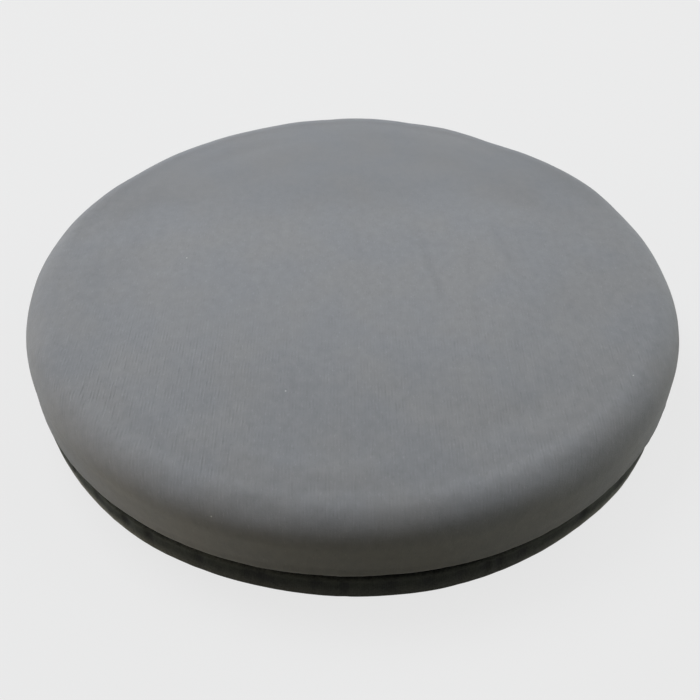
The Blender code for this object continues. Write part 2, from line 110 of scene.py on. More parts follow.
# How far along the cloth its rim and its foot lie from the edge of its flap
RIM_ALONG = BASE_FLAP + BASE_RADIUS - BASE_INSIDE
FOOT_ALONG = RIM_ALONG + BASE_HIGH.z - BASE_LOW.z - BASE_FOOT_ROUND

# Mat
MAT_EDGE = 0.4 * MM           # bevel round its top
MAT_RIB_PITCH = 3 * MM
MAT_RIB_DEPTH = 0.5 * MM
MAT_RIB_MOUTH = 0.3 * MAT_RIB_PITCH    # half the width of a groove between ribs, at its mouth
MAT_RIB_FLOOR = 0.15 * MAT_RIB_PITCH   # and at its floor
MAT_TREADS = (60 * MM, 110 * MM, 160 * MM)
MAT_TREAD_WIDTH = 3 * MM
MAT_TREAD_DEPTH = 0.8 * MM
MAT_TREAD_TAPER = 0.2 * MM    # how much nearer the middle of a tread each of its sides is at its floor

# Sizes of patterns, in millimetres. Where there are two, they are the width and the length.
WAVE_PITCH = 0.314            # how far apart a wave texture's bands are at a scale of 1
WALE_PITCH = 1.8              # the real 0.7 is too fine to show
WALE_DASH = (2.2, 9.0)
WALE_AREA = 60.0
FLECK = (0.9, 3.0)
MOTTLE = (5.0, 7.0)
NAP = 1.1
CLOUD = 50.0
LINT_APART = 17.0
THREAD_PITCH = 0.9            # the real 0.4 is too fine to show
BLOTCH = (7.0, 11.0)
FLUFF = 1.3
STAIN = 25.0                  # the faint clouds in the finish of the hard pieces, the foam and the elastic

# How pale the foot of the base cloth is at its front and back, and more towards its left and right ends,
# between these shares of its radius. It is partly wear and partly painted light, which is most towards the
# ends.
WEAR_AND_LIGHT_FRONT = 0.3
WEAR_AND_LIGHT_ENDS = 1.9
WEAR_AND_LIGHT_FROM = 0.36
WEAR_AND_LIGHT_FULL = 0.96


def linear(code):
    """An sRGB hex colour, such as #808080, as linear RGBA."""
    parts = [int(code[i:i + 2], 16) / 255 for i in (1, 3, 5)]
    return tuple(p / 12.92 if p <= 0.04045 else ((p + 0.055) / 1.055) ** 2.4 for p in parts) + (1.0,)


def add_node(tree, kind, settings=None, links=None):
    """Adds a node, sets its properties and sockets, and links its sockets to outputs, or to nodes' first
    outputs. A socket goes by its name, or by its number where a node has several of one name. MULTIPLY_ADD is
    socket 0 times socket 1, plus socket 2, and a colour Mix goes from socket 6 to socket 7."""
    node = tree.nodes.new(kind)
    for name, value in (settings or {}).items():
        if isinstance(name, str) and hasattr(node, name):
            setattr(node, name, value)
        else:
            node.inputs[name].default_value = value
    for name, source in (links or {}).items():
        output = source.outputs[0] if isinstance(source, bpy.types.Node) else source
        tree.links.new(output, node.inputs[name])
    return node


def new_material(name):
    """An empty material and its node tree."""
    material = bpy.data.materials.new(name)
    material.use_nodes = True
    material.node_tree.nodes.clear()
    return material, material.node_tree


def place_on_cloth(tree):
    """Where a point lies on the flat cloth, in millimetres."""
    flat = add_node(tree, "ShaderNodeUVMap", {"uv_map": "cloth"})
    return add_node(tree, "ShaderNodeMapping", {"Scale": (1 / MM, 1 / MM, 1 / MM)}, {"Vector": flat})


def end_material(tree, colour, height, relief_mm, settings, links=None):
    """Ends a material with its shader, its relief in millimetres and its output."""
    bump = add_node(tree, "ShaderNodeBump", {"Distance": relief_mm * MM}, {"Height": height})
    shader = add_node(tree, "ShaderNodeBsdfPrincipled", settings,
                      {"Base Color": colour.outputs[2], "Normal": bump} | (links or {}))
    add_node(tree, "ShaderNodeOutputMaterial", links={"Surface": shader})


# Finishes

def brushed_knit():
    """Grey polyester warp knit with a brushed nap: matte, with soft mottles, fine wales that come and go,
    small flecks where the nap is rubbed, painted shade along its creases, and a pale bloom where it is seen
    flat."""
    material, tree = new_material("brushed_polyester_knit")
    where = place_on_cloth(tree)
    place = add_node(tree, "ShaderNodeSeparateXYZ", links={0: where})

    # Wales come and go in dashes and areas, are plainest at the front and the left, and fade out over the
    # shoulder
    wales = add_node(tree, "ShaderNodeTexWave",
                     {"bands_direction": "X", "Scale": WAVE_PITCH / WALE_PITCH, "Distortion": 0.7,
                      "Detail": 1.0, "Detail Scale": 0.25}, {"Vector": where})
    dashes = add_node(tree, "ShaderNodeMapping", {"Scale": (1 / WALE_DASH[0], 1 / WALE_DASH[1], 1.0)},
                      {"Vector": where})
    dashes = add_node(tree, "ShaderNodeTexNoise", {"Scale": 1.0, "Detail": 2.0}, {"Vector": dashes})
    dashes = add_node(tree, "ShaderNodeMapRange", {"From Min": 0.45, "From Max": 0.72}, {"Value": dashes})
    areas = add_node(tree, "ShaderNodeTexNoise", {"Scale": 1 / WALE_AREA, "Detail": 2.0}, {"Vector": where})
    areas = add_node(tree, "ShaderNodeMapRange", {"From Min": 0.4, "From Max": 0.62, "To Min": 0.5},
                     {"Value": areas})
    leftward = add_node(tree, "ShaderNodeMapRange",
                        {"From Min": -30.0, "From Max": -105.0, "To Min": 0.5, "To Max": 1.0},
                        {"Value": place.outputs[0]})
    frontward = add_node(tree, "ShaderNodeMapRange",
                         {"From Min": -30.0, "From Max": -85.0, "To Min": 0.3, "To Max": 2.2},
                         {"Value": place.outputs[1]})
    from_middle = add_node(tree, "ShaderNodeVectorMath", {"operation": "LENGTH"}, {0: where})
    above_wall = add_node(tree, "ShaderNodeMapRange", {"From Min": 206.0, "From Max": 182.0},
                          {"Value": from_middle.outputs["Value"]})
    wales = add_node(tree, "ShaderNodeMath", {"operation": "MULTIPLY_ADD", 1: 2.0, 2: -1.0},
                     {0: wales.outputs["Fac"]})
    for share in (dashes, areas, leftward, frontward, above_wall):
        wales = add_node(tree, "ShaderNodeMath", {"operation": "MULTIPLY"}, {0: wales, 1: share})

    # Pale and dark flecks
    rubbed = add_node(tree, "ShaderNodeMapping", {"Scale": (1 / FLECK[0], 1 / FLECK[1], 1.0)},
                      {"Vector": where})
    rubbed = add_node(tree, "ShaderNodeTexNoise", {"Scale": 1.0, "Detail": 1.0}, {"Vector": rubbed})
    pale = add_node(tree, "ShaderNodeMapRange", {"From Min": 0.65, "From Max": 0.73}, {"Value": rubbed})
    dark = add_node(tree, "ShaderNodeMapRange", {"From Min": 0.36, "From Max": 0.26, "To Max": -1.0},
                    {"Value": rubbed})

    # Mottles, where tufts of the nap lie one way or the other, and the nap's own fine grain
    mottles = add_node(tree, "ShaderNodeMapping", {"Scale": (1 / MOTTLE[0], 1 / MOTTLE[1], 1.0)},
                       {"Vector": where})
    mottles = add_node(tree, "ShaderNodeTexNoise", {"Scale": 1.0, "Detail": 2.0, "Roughness": 0.55},
                       {"Vector": mottles})
    nap = add_node(tree, "ShaderNodeTexNoise", {"Scale": 1 / NAP, "Detail": 4.0, "Roughness": 0.7},
                   {"Vector": where})

    # All of it is fainter towards the back
    grain = add_node(tree, "ShaderNodeMath", {"operation": "MULTIPLY_ADD", 1: 0.1, 2: -0.31}, {0: nap})
    for part, weight in ((mottles, 0.52), (wales, 0.18), (pale, 0.27), (dark, 0.2)):
        grain = add_node(tree, "ShaderNodeMath", {"operation": "MULTIPLY_ADD", 1: weight},
                         {0: part, 2: grain})
    lively = add_node(tree, "ShaderNodeMapRange", {"From Min": 110.0, "From Max": 30.0, "To Min": 0.25},
                      {"Value": place.outputs[1]})
    grain = add_node(tree, "ShaderNodeMath", {"operation": "MULTIPLY"}, {0: grain, 1: lively})

    # The colour is darker towards the back, the front and the ends of the cover
    clouds = add_node(tree, "ShaderNodeTexNoise", {"Scale": 1 / CLOUD, "Detail": 5.0, "Roughness": 0.7},
                      {"Vector": where})
    across = add_node(tree, "ShaderNodeMath", {"operation": "MULTIPLY_ADD", 1: 75.0},
                      {0: clouds, 2: place.outputs[1]})
    slanted = add_node(tree, "ShaderNodeMath", {"operation": "MULTIPLY_ADD", 1: -0.06},
                       {0: place.outputs[0], 2: across})
    back = add_node(tree, "ShaderNodeMapRange",
                    {"From Min": 122.0, "From Max": 74.0, "interpolation_type": "SMOOTHSTEP"},
                    {"Value": slanted})
    front = add_node(tree, "ShaderNodeMapRange",
                     {"From Min": -132.0, "From Max": -5.0, "interpolation_type": "SMOOTHSTEP"},
                     {"Value": across})
    sideways = add_node(tree, "ShaderNodeMath", {"operation": "ADD", 1: 15.0}, {0: place.outputs[0]})
    sideways = add_node(tree, "ShaderNodeMath", {"operation": "ABSOLUTE"}, {0: sideways})
    ends = add_node(tree, "ShaderNodeMapRange", {"From Min": 95.0, "From Max": 180.0, "To Max": -1.0},
                    {"Value": sideways})
    # Painted shade: the colour is darkened along the creases in the top
    creases = add_node(tree, "ShaderNodeAttribute", {"attribute_name": "crease"}).outputs["Fac"]
    tone = add_node(tree, "ShaderNodeMath", {"operation": "MULTIPLY_ADD", 1: 0.22, 2: 0.05}, {0: back})
    for part, weight in ((front, 0.2), (ends, 0.17), (clouds, 0.24), (grain, 0.93), (creases, -0.14)):
        tone = add_node(tree, "ShaderNodeMath", {"operation": "MULTIPLY_ADD", 1: weight}, {0: part, 2: tone})

    # The yarn is melange: cooler and warmer greys in soft patches
    patches = add_node(tree, "ShaderNodeTexNoise", {"Scale": 1 / CLOUD, "Detail": 3.0, "Roughness": 0.5},
                       {"Vector": where})
    patches = add_node(tree, "ShaderNodeMapRange", {"From Min": 0.4, "From Max": 0.6}, {"Value": patches})
    cool, warm = [add_node(tree, "ShaderNodeMix", {"data_type": "RGBA", 6: linear(deep), 7: linear(light)},
                           {0: tone}).outputs[2]
                  for deep, light in (("#78797b", "#98999c"), ("#79797a", "#99999a"))]
    colour = add_node(tree, "ShaderNodeMix", {"data_type": "RGBA"}, {0: patches, 6: cool, 7: warm})

    # Lint: a pale speck in a few of the cells, up to a millimetre across
    cells = add_node(tree, "ShaderNodeTexVoronoi", {"Scale": 1 / LINT_APART}, {"Vector": where})
    chosen = add_node(tree, "ShaderNodeSeparateColor", links={0: cells.outputs["Color"]})
    chosen = add_node(tree, "ShaderNodeMath", {"operation": "GREATER_THAN", 1: 0.93}, {0: chosen})
    speck = add_node(tree, "ShaderNodeMapRange", {"From Min": 0.03, "From Max": 0.018},
                     {"Value": cells.outputs["Distance"]})
    speck = add_node(tree, "ShaderNodeMath", {"operation": "MULTIPLY"}, {0: speck, 1: chosen})
    colour = add_node(tree, "ShaderNodeMix", {"data_type": "RGBA", 7: linear("#c6c7c5")},
                      {0: speck, 6: colour.outputs[2]})

    height = add_node(tree, "ShaderNodeMath", {"operation": "MULTIPLY_ADD", 1: 0.6}, {0: wales, 2: nap})
    end_material(tree, colour, height, relief_mm=0.12,
                 settings={"Roughness": 0.95, "Specular IOR Level": 0.12, "Sheen Weight": 0.3,
                           "Sheen Roughness": 0.5, "Sheen Tint": linear("#d0d3dc")})
    return material


def woven_black():
    """Black polyester cloth, drawn tight: a matte plain weave, blotchy and dusty, with painted shade in its
    puckers, pale at the foot with wear and painted light, and with painted light in pale blotches along the
    rim."""
    material, tree = new_material("woven_black_polyester")
    where = place_on_cloth(tree)
    weft, warp = [add_node(tree, "ShaderNodeTexWave",
                           {"bands_direction": direction, "Scale": WAVE_PITCH / THREAD_PITCH},
                           {"Vector": where}).outputs["Fac"]
                  for direction in "XY"]
    weave = add_node(tree, "ShaderNodeMath", {"operation": "MULTIPLY"}, {0: weft, 1: warp})
    blotches = add_node(tree, "ShaderNodeMapping", {"Scale": (1 / BLOTCH[0], 1 / BLOTCH[1], 1.0)},
                        {"Vector": where})
    blotches = add_node(tree, "ShaderNodeTexNoise", {"Scale": 1.0, "Detail": 3.0, "Roughness": 0.7},
                        {"Vector": blotches})
    fluff = add_node(tree, "ShaderNodeTexNoise", {"Scale": 1 / FLUFF, "Detail": 3.0, "Roughness": 0.7},
                     {"Vector": where})
    # Painted shade: the colour is darkened in the puckers
    painted_pucker_shade = add_node(tree, "ShaderNodeAttribute", {"attribute_name": "pucker"}).outputs["Fac"]
    tone = add_node(tree, "ShaderNodeMath", {"operation": "MULTIPLY_ADD", 1: 0.5}, {0: fluff, 2: blotches})
    for part, weight in ((weave, 0.15), (painted_pucker_shade, -0.75)):
        tone = add_node(tree, "ShaderNodeMath", {"operation": "MULTIPLY_ADD", 1: weight}, {0: part, 2: tone})
    tone = add_node(tree, "ShaderNodeMapRange", {"From Min": 0.52, "From Max": 1.0}, {"Value": tone})
    colour = add_node(tree, "ShaderNodeMix",
                      {"data_type": "RGBA", 6: linear("#111210"), 7: linear("#3d403b")}, {0: tone})

    # Pale at the foot, most at its two ends: partly wear, and partly painted light, which is most at the
    # ends.
    # Pale in blotches all along the rim: painted light over the shade under the cushion's edge. These are the
    # places along the cloth where each paleness starts, where it is full, and where it is gone again as the
    # cloth turns out of sight. The blotches shift them a little.
    foot_wear_and_light = (FOOT_ALONG - 9 * MM, FOOT_ALONG - 0.5 * MM, FOOT_ALONG + 5 * MM)
    rim_painted_light = (RIM_ALONG + 2.5 * MM, RIM_ALONG - 0.5 * MM, RIM_ALONG - 7 * MM)
    at_ends = add_node(tree, "ShaderNodeAttribute", {"attribute_name": "wear_and_light"}).outputs["Fac"]
    place = add_node(tree, "ShaderNodeSeparateXYZ", links={0: where})
    along = add_node(tree, "ShaderNodeMath", {"operation": "MULTIPLY_ADD", 1: 5.0, 2: -2.5}, {0: blotches})
    along = add_node(tree, "ShaderNodeMath", {"operation": "ADD"}, {0: along, 1: place.outputs[1]})
    for (start, full, gone), most, spread, wear_and_light_colour in ((foot_wear_and_light, 1.3, at_ends, "#989890"),
                                                           (rim_painted_light, 1.6, blotches, "#626560")):
        wear_and_light = add_node(tree, "ShaderNodeMapRange",
                        {"From Min": start / MM, "From Max": full / MM, "To Max": most}, {"Value": along})
        in_sight = add_node(tree, "ShaderNodeMapRange", {"From Min": gone / MM, "From Max": full / MM},
                            {"Value": along})
        for part in (fluff, spread, in_sight):
            wear_and_light = add_node(tree, "ShaderNodeMath", {"operation": "MULTIPLY"}, {0: wear_and_light, 1: part})
        colour = add_node(tree, "ShaderNodeMix", {"data_type": "RGBA", 7: linear(wear_and_light_colour)},
                          {0: wear_and_light, 6: colour.outputs[2]})

    height = add_node(tree, "ShaderNodeMath", {"operation": "MULTIPLY_ADD", 1: 0.7}, {0: weave, 2: fluff})
    end_material(tree, colour, height, relief_mm=0.12,
                 settings={"Roughness": 0.92, "Specular IOR Level": 0.2, "Sheen Weight": 0.12,
                           "Sheen Roughness": 0.4, "Sheen Tint": linear("#c8c8c0")})
    return material


def solid_finish(name, dark, light, roughness, grain_mm, relief_mm, settings):
    """A finish with faint clouds and a fine grain in its colour, gloss and relief."""
    material, tree = new_material(name)
    place = add_node(tree, "ShaderNodeTexCoord")
    where = add_node(tree, "ShaderNodeMapping", {"Scale": (1 / MM, 1 / MM, 1 / MM)},
                     {"Vector": place.outputs["Object"]})
    grain = add_node(tree, "ShaderNodeTexNoise", {"Scale": 1 / grain_mm, "Detail": 4.0, "Roughness": 0.6},
                     {"Vector": where})
    clouds = add_node(tree, "ShaderNodeTexNoise", {"Scale": 1 / STAIN, "Detail": 3.0}, {"Vector": where})
    tone = add_node(tree, "ShaderNodeMath", {"operation": "MULTIPLY_ADD", 1: 0.4}, {0: grain, 2: clouds})
    tone = add_node(tree, "ShaderNodeMapRange", {"From Min": 0.45, "From Max": 0.95}, {"Value": tone})
    colour = add_node(tree, "ShaderNodeMix", {"data_type": "RGBA", 6: linear(dark), 7: linear(light)},
                      {0: tone})
    gloss = add_node(tree, "ShaderNodeMapRange",
                     {"From Min": 0.3, "From Max": 0.7, "To Min": roughness - 0.05,
                      "To Max": roughness + 0.05}, {"Value": grain})
    end_material(tree, colour, grain, relief_mm, settings, {"Roughness": gloss})
    return material


def make_finishes():
    """A finish for each of the record's material slots."""
    return {
        "grey_knit": brushed_knit(),
        "black_cloth": woven_black(),
        # Moulded rubber: matte black with a dusty bloom
        "black_rubber": solid_finish(
            "moulded_rubber", "#262625", "#333331", roughness=0.8, grain_mm=0.5, relief_mm=0.05,
            settings={"Specular IOR Level": 0.3}),
        # Moulded polypropylene, black and grey: a dull shine over a fine spark-eroded grain
        "black_polypropylene": solid_finish(
            "moulded_black_polypropylene", "#212121", "#2b2b2b", roughness=0.5, grain_mm=0.4, relief_mm=0.03,
            settings={"IOR": 1.49}),
        "grey_polypropylene": solid_finish(
            "moulded_grey_polypropylene", "#7a7b7d", "#87888a", roughness=0.45, grain_mm=0.4, relief_mm=0.03,
            settings={"IOR": 1.49}),
        # Moulded acetal: milk white, smooth and waxy
        "white_acetal": solid_finish(
            "moulded_acetal", "#dbdbd5", "#e6e6e1", roughness=0.35, grain_mm=0.6, relief_mm=0.01,
            settings={"IOR": 1.48}),
        # Zinc plate: silver grey with a soft shine and faint clouds
        "zinc_plated_steel": solid_finish(
            "zinc_plated_steel", "#b4b6b4", "#cfd0cc", roughness=0.3, grain_mm=0.3, relief_mm=0.004,
            settings={"Metallic": 1.0}),
        # Ground bearing steel: bright, almost a mirror
        "bearing_steel": solid_finish(
            "ground_bearing_steel", "#c4c5c6", "#d6d7d8", roughness=0.14, grain_mm=0.2, relief_mm=0.001,
            settings={"Metallic": 1.0}),
        # Polyurethane foam: cream, with open cells
        "cream_foam": solid_finish(
            "open_cell_foam", "#d6c89f", "#e8dcba", roughness=0.95, grain_mm=0.9, relief_mm=0.3,
            settings={"Specular IOR Level": 0.2}),
        # Elastic: white braid over rubber
        "white_elastic": solid_finish(
            "braided_elastic", "#cdcdc8", "#dededa", roughness=0.85, grain_mm=0.5, relief_mm=0.1,
            settings={"Specular IOR Level": 0.3}),
    }


# Shapes

def rise(x, start, full):
    """From 0 at one value of x to 1 at another, with level ends."""
    share = np.clip((x - start) / (full - start), 0.0, 1.0)
    return share * share * (3 - 2 * share)


def arc(centre, radii, start, end, count):
    """Points on an ellipse, from one angle in degrees to another, without the first."""
    angles = np.radians(np.linspace(start, end, count + 1)[1:])
    return [(centre[0] + radii[0] * math.cos(a), centre[1] + radii[1] * math.sin(a)) for a in angles]


def line(start, end, count):
    """Points on a straight line, without the first."""
    return [tuple(point) for point in np.linspace(start, end, count + 1)[1:]]


def turned(name, outline, segments, move=None, wrap="disc"):
    """A surface turned about the upright axis from (radius, height) points, which run outwards over the top,
    down and in again. move(angle, radius, height) gives each point its small changes. The cloth coordinates
    are those of a flat disc, or of a band that runs round, in metres."""
    points = np.array(outline, float)
    rows = len(points)
    along = np.concatenate([[0.0], np.cumsum(np.linalg.norm(np.diff(points, axis=0), axis=1))])
    angle = np.tile(2 * math.pi * np.arange(segments) / segments, (rows, 1))
    radius = np.repeat(points[:, :1], segments, axis=1)
    height = np.repeat(points[:, 1:], segments, axis=1)
    if move is not None:
        radius, height = move(angle, radius, height)
    vertices = np.stack([radius * np.cos(angle), radius * np.sin(angle), height], axis=2)

    # Each face has four corners: down the outline, on round, and back up
    down, on = np.array([(0, 0), (1, 0), (1, 1), (0, 1)]).T
    row = np.arange(rows - 1)[:, None, None] + down + np.zeros((1, segments, 1), int)
    turn = np.arange(segments)[None, :, None] + on + np.zeros((rows - 1, 1, 1), int)
    faces = row * segments + turn % segments
    mesh = bpy.data.meshes.new(name)
    mesh.from_pydata(vertices.reshape(-1, 3).tolist(), [], faces.reshape(-1, 4).tolist())
    around = 2 * math.pi * turn / segments
    if wrap == "disc":
        places = np.stack([along[row] * np.cos(around), along[row] * np.sin(around)], axis=3)
    else:
        places = np.stack([points[:, 0].max() * around, along[row]], axis=3)
    mesh.uv_layers.new(name="cloth").data.foreach_set("uv", places.reshape(-1).astype(np.float32))

    # Points that meet on the axis, or where a ring closes, become one
    shape = bmesh.new()
    shape.from_mesh(mesh)
    bmesh.ops.remove_doubles(shape, verts=shape.verts, dist=1e-6)
    shape.to_mesh(mesh)
    shape.free()
    mesh.shade_smooth()
    return mesh


def add_piece(mesh, material, body, replaced):
    """Puts a mesh in the scene with its finish, on its body, in place of a CAD node."""
    mesh.materials.append(material)
    piece = bpy.data.objects.new(mesh.name, mesh)
    bpy.context.scene.collection.objects.link(piece)
    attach(piece, body)
    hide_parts(replaced)
    return piece


def thicken(piece, thickness):
    """Gives a cloth surface its thickness, inwards."""
    solidify = piece.modifiers.new("cloth", "SOLIDIFY")
    solidify.thickness = thickness
    solidify.offset = -1.0
    solidify.use_even_offset = True


def coordinates(mesh):
    """The places of a mesh's points."""
    places = np.empty(3 * len(mesh.vertices), np.float32)
    mesh.vertices.foreach_get("co", places)
    return places.reshape(-1, 3).astype(float)


def mark_points(mesh, name, value_at):
    """Gives each point of a mesh a value that its finish reads, from value_at(x, y, z)."""
    values = value_at(*coordinates(mesh).T)
    mesh.attributes.new(name, "FLOAT", "POINT").data.foreach_set("value", values.astype(np.float32))


def swells(angle, places):
    """The sum of soft swellings round the edge, each with its direction and half width in degrees and its
    height in millimetres."""
    total = np.zeros_like(angle)
    for direction, width, height in places:
        off = (np.degrees(angle) - direction + 180) % 360 - 180
        total += height * MM * np.exp(-(off / width) ** 2)
    return total


def rough(angle, radius, height, size, seed):
    """Smooth noise from -1 to 1 at each point, with lumps of about a given size."""
    x, y = radius * np.cos(angle), radius * np.sin(angle)
    places = np.stack([x / size + seed, y / size - seed, height / size], axis=-1).reshape(-1, 3)
    values = np.fromiter((noise.noise(Vector(place)) for place in places), float, len(places))
    return values.reshape(angle.shape)


# Cushion

# Where the edge stands out or in, seen from above: degrees from +X, half width in degrees, millimetres
EDGE_SWELLS = ((30, 9, 0.6), (54, 12, -1.9), (90, 13, 0.7), (112, 14, -0.6), (140, 11, -0.8), (165, 13, 0.8),
               (215, 20, -0.4), (268, 22, -0.7), (340, 18, 1.4))

# Where the cover's lower edge stands out or in, in the same terms
LOW_SWELLS = ((210, 16, 0.3), (262, 34, -0.35), (292, 14, 1.05), (322, 26, 0.5))

# The share of a swell by which the top rises over it
SWELL_UP = 0.5

# Where the foam fills the cover's shoulder more, in the same terms
SHOULDER_SWELLS = ((226, 26, 1.7), (302, 24, 0.7))

# Faint creases in the cover's top: where each starts and ends, and its strength
TOP_CREASES = (((38 * MM, 50 * MM), (58 * MM, -52 * MM), 1.0), ((74 * MM, 36 * MM), (72 * MM, -90 * MM), 0.6),
               ((89 * MM, 46 * MM), (104 * MM, -20 * MM), 0.9), ((1 * MM, 52 * MM), (11 * MM, -40 * MM), 0.5),
               ((124 * MM, 10 * MM), (132 * MM, -72 * MM), 0.5),
               ((-128 * MM, 112 * MM), (-140 * MM, 0.0), 0.5))
CREASE_HALF_WIDTH = 2.5 * MM
CREASE_DEPTH = 0.35 * MM
CREASE_FADE = 0.3             # the share of its length over which a crease fades at each end

# Smaller unevenness: the size of its lumps, then how far it moves the cover out and up
LUMP, LUMP_OUT, LUMP_UP = 70 * MM, 0.2 * MM, 0.5 * MM
RIPPLE, RIPPLE_OUT, RIPPLE_UP = 11 * MM, 0.1 * MM, 0.04 * MM

# Waves along the shoulder, with their depth
WAVE, WAVE_DEPTH = 30 * MM, 0.4 * MM

# Gathers at the heel, with their depth and how much it grows under the heel. They hang down by shares of it.
GATHER, GATHER_DEPTH, GATHER_GROWTH = 6 * MM, 0.3 * MM, 0.4 * MM
GATHER_SAG, GATHER_SAG_GROWTH = 0.2, 0.5

# Where on the cover each kind starts and where it is full, by radius or by height
OUTER = (0.6 * CUSHION_RADIUS, CUSHION_RADIUS)
UNDER = (CUSHION_RADIUS - 8 * MM, CUSHION_RADIUS - 16 * MM)
OVER_HEEL = (UNDERSIDE, UNDERSIDE + HEEL_HEIGHT)
TOP = (UNDERSIDE + 15 * MM, UNDERSIDE + 35 * MM)
WALL = (UNDERSIDE + 26 * MM, UNDERSIDE + 4 * MM)
HEEL = (UNDERSIDE + 12 * MM, UNDERSIDE + 2 * MM)


def top_creases(x, y):
    """How near each point is to the creases in the cover's top, from 0 to 1. They fade at their ends."""
    total = 0.0
    for start, end, strength in TOP_CREASES:
        way = np.subtract(end, start)
        length = math.hypot(*way)
        share = ((x - start[0]) * way[0] + (y - start[1]) * way[1]) / length ** 2
        off = ((x - start[0]) * way[1] - (y - start[1]) * way[0]) / length
        ends = rise(share, 0.0, CREASE_FADE) * rise(share, 1.0, 1.0 - CREASE_FADE)
        total = total + strength * ends * np.exp(-(off / CREASE_HALF_WIDTH) ** 2)
    return total


def cushion_outline(inset):
    """The cushion's outline from the middle of its crown to its drawn-in heel, set in by a distance."""
    shoulder = (CUSHION_RADIUS - SHOULDER_WIDTH, RIM - SHOULDER_DROP)
    heel = (CUSHION_RADIUS - HEEL_WIDTH, UNDERSIDE + HEEL_HEIGHT)
    outline = [(r, RIM + CROWN * (1 - (r / shoulder[0]) ** 2) - inset)
               for r in np.linspace(0.0, shoulder[0], 70)]
    outline += arc(shoulder, (SHOULDER_WIDTH - inset, SHOULDER_DROP - inset), start=90, end=0, count=24)
    outline += line(outline[-1], (CUSHION_RADIUS - inset, heel[1]), count=10)
    return outline + arc(heel, (HEEL_WIDTH - inset, HEEL_HEIGHT - inset), start=0, end=-90, count=9)


def uneven_cushion(angle, radius, height):
    """The small unevenness of foam under a stretched cover, which its elastic gathers under the heel."""
    outer = rise(radius, *OUTER)
    over_heel = rise(height, *OVER_HEEL)
    top = rise(height, *TOP)
    heel = rise(height, *HEEL)
    under = rise(radius, *UNDER) * (1 - over_heel)
    shoulder = (2 * np.clip((radius - CUSHION_RADIUS + SHOULDER_WIDTH) / SHOULDER_WIDTH, 0, 1)
                * np.clip((height - RIM + SHOULDER_DROP) / SHOULDER_DROP, 0, 1))

    swell = swells(angle, EDGE_SWELLS) + rise(height, *WALL) * swells(angle, LOW_SWELLS)
    lumps = rough(angle, radius, height, LUMP, seed=3.0)
    waves = rough(angle, radius, height, WAVE, seed=7.0)
    ripples = rough(angle, radius, height, RIPPLE, seed=11.0)
    gathers = rough(angle, CUSHION_RADIUS + 0 * radius, 0 * height, GATHER, seed=9.0)
    folds = top_creases(radius * np.cos(angle), radius * np.sin(angle))
    full = shoulder * (swells(angle, SHOULDER_SWELLS) + WAVE_DEPTH * waves)

    out = over_heel * (swell + LUMP_OUT * lumps) + RIPPLE_OUT * ripples + full + heel * GATHER_DEPTH * gathers
    up = top * (outer * SWELL_UP * swell + LUMP_UP * lumps + RIPPLE_UP * ripples - CREASE_DEPTH * folds)
    hang = (GATHER_DEPTH + GATHER_GROWTH * under) * (gathers - GATHER_SAG - GATHER_SAG_GROWTH * under)
    return radius + outer * out, height + up + outer * (full + heel * hang)


def unfilled_cushion(angle, radius, height):
    """The uneven cushion before its cover fills: narrower and lower, so that it swells to its right size. Its
    underside, which is held, starts where it ends."""
    radius, height = uneven_cushion(angle, radius, height)
    along = radius + RIM - height
    free = rise(height, UNDERSIDE + PAD_HELD, UNDERSIDE + PAD_HELD + HEEL_HEIGHT)
    end = CUSHION_RADIUS - SHOULDER_WIDTH + PAD_LOWER_END
    return (radius - PAD_NARROWER * along * free,
            height - PAD_LOWER * rise(along, end, end - PAD_LOWER_TURN))


def simulate_pad():
    """Blows the cushion's cover up with cloth simulation, held at its underside. Gives where the pad's points
    are before it and how each moves."""
    outline = cushion_outline(0.0)
    outline += line(outline[-1], (0.0, UNDERSIDE), count=20)
    pad = bpy.data.objects.new("pad", turned("pad", outline, segments=240, move=unfilled_cushion))
    bpy.context.scene.collection.objects.link(pad)
    remesh = pad.modifiers.new("even", "REMESH")
    remesh.mode = "VOXEL"
    remesh.voxel_size = PAD_VOXEL
    even = bpy.data.meshes.new_from_object(pad.evaluated_get(bpy.context.evaluated_depsgraph_get()))
    pad.modifiers.clear()
    pad.data = even
    before = coordinates(even)
    held = pad.vertex_groups.new(name="held")
    held.add(np.flatnonzero(before[:, 2] < UNDERSIDE + PAD_HELD).tolist(), 1.0, "REPLACE")
    cloth = pad.modifiers.new("cloth", "CLOTH")
    cloth.settings.quality = 5
    cloth.settings.shrink_min = -PAD_GROWTH
    cloth.settings.use_pressure = True
    cloth.settings.uniform_pressure_force = PAD_PRESSURE
    cloth.settings.effector_weights.gravity = 0.0
    cloth.settings.vertex_group_mass = held.name
    cloth.point_cache.frame_start = 1
    cloth.point_cache.frame_end = PAD_FRAMES
    for number in range(1, PAD_FRAMES + 1):
        bpy.context.scene.frame_set(number)
    moves = coordinates(pad.evaluated_get(bpy.context.evaluated_depsgraph_get()).to_mesh()) - before
    far = np.linalg.norm(moves, axis=1, keepdims=True)
    moves *= np.minimum(1.0, PAD_CAP / np.maximum(far, 1e-9))
    bpy.context.scene.frame_set(1)
    bpy.data.objects.remove(pad)
    return before, moves


def fill_cover():
    """Gives a function like uneven_cushion for the filled cover."""
    before, moves = simulate_pad()
    nearest = kdtree.KDTree(len(before))
    for index, place in enumerate(before):
        nearest.insert(place, index)
    nearest.balance()

    def filled_cushion(angle, radius, height):
        """The uneven cushion, with each point moved as the simulated points near it."""
        radius, height = unfilled_cushion(angle, radius, height)
        across = np.stack([np.cos(angle), np.sin(angle)], axis=-1)
        places = np.concatenate([radius[..., None] * across, height[..., None]], axis=-1).reshape(-1, 3)
        moved = np.empty_like(places)
        for row, place in enumerate(places):
            found = nearest.find_n(place, PAD_NEIGHBOURS)
            weights = np.array([math.exp(-(off / PAD_BLUR) ** 2) for _, _, off in found]) + 1e-9
            moved[row] = weights @ moves[[index for _, index, _ in found]] / weights.sum()
        moved = moved.reshape(*radius.shape, 3)
        return radius + (moved[..., :2] * across).sum(-1), height + moved[..., 2]

    return filled_cushion


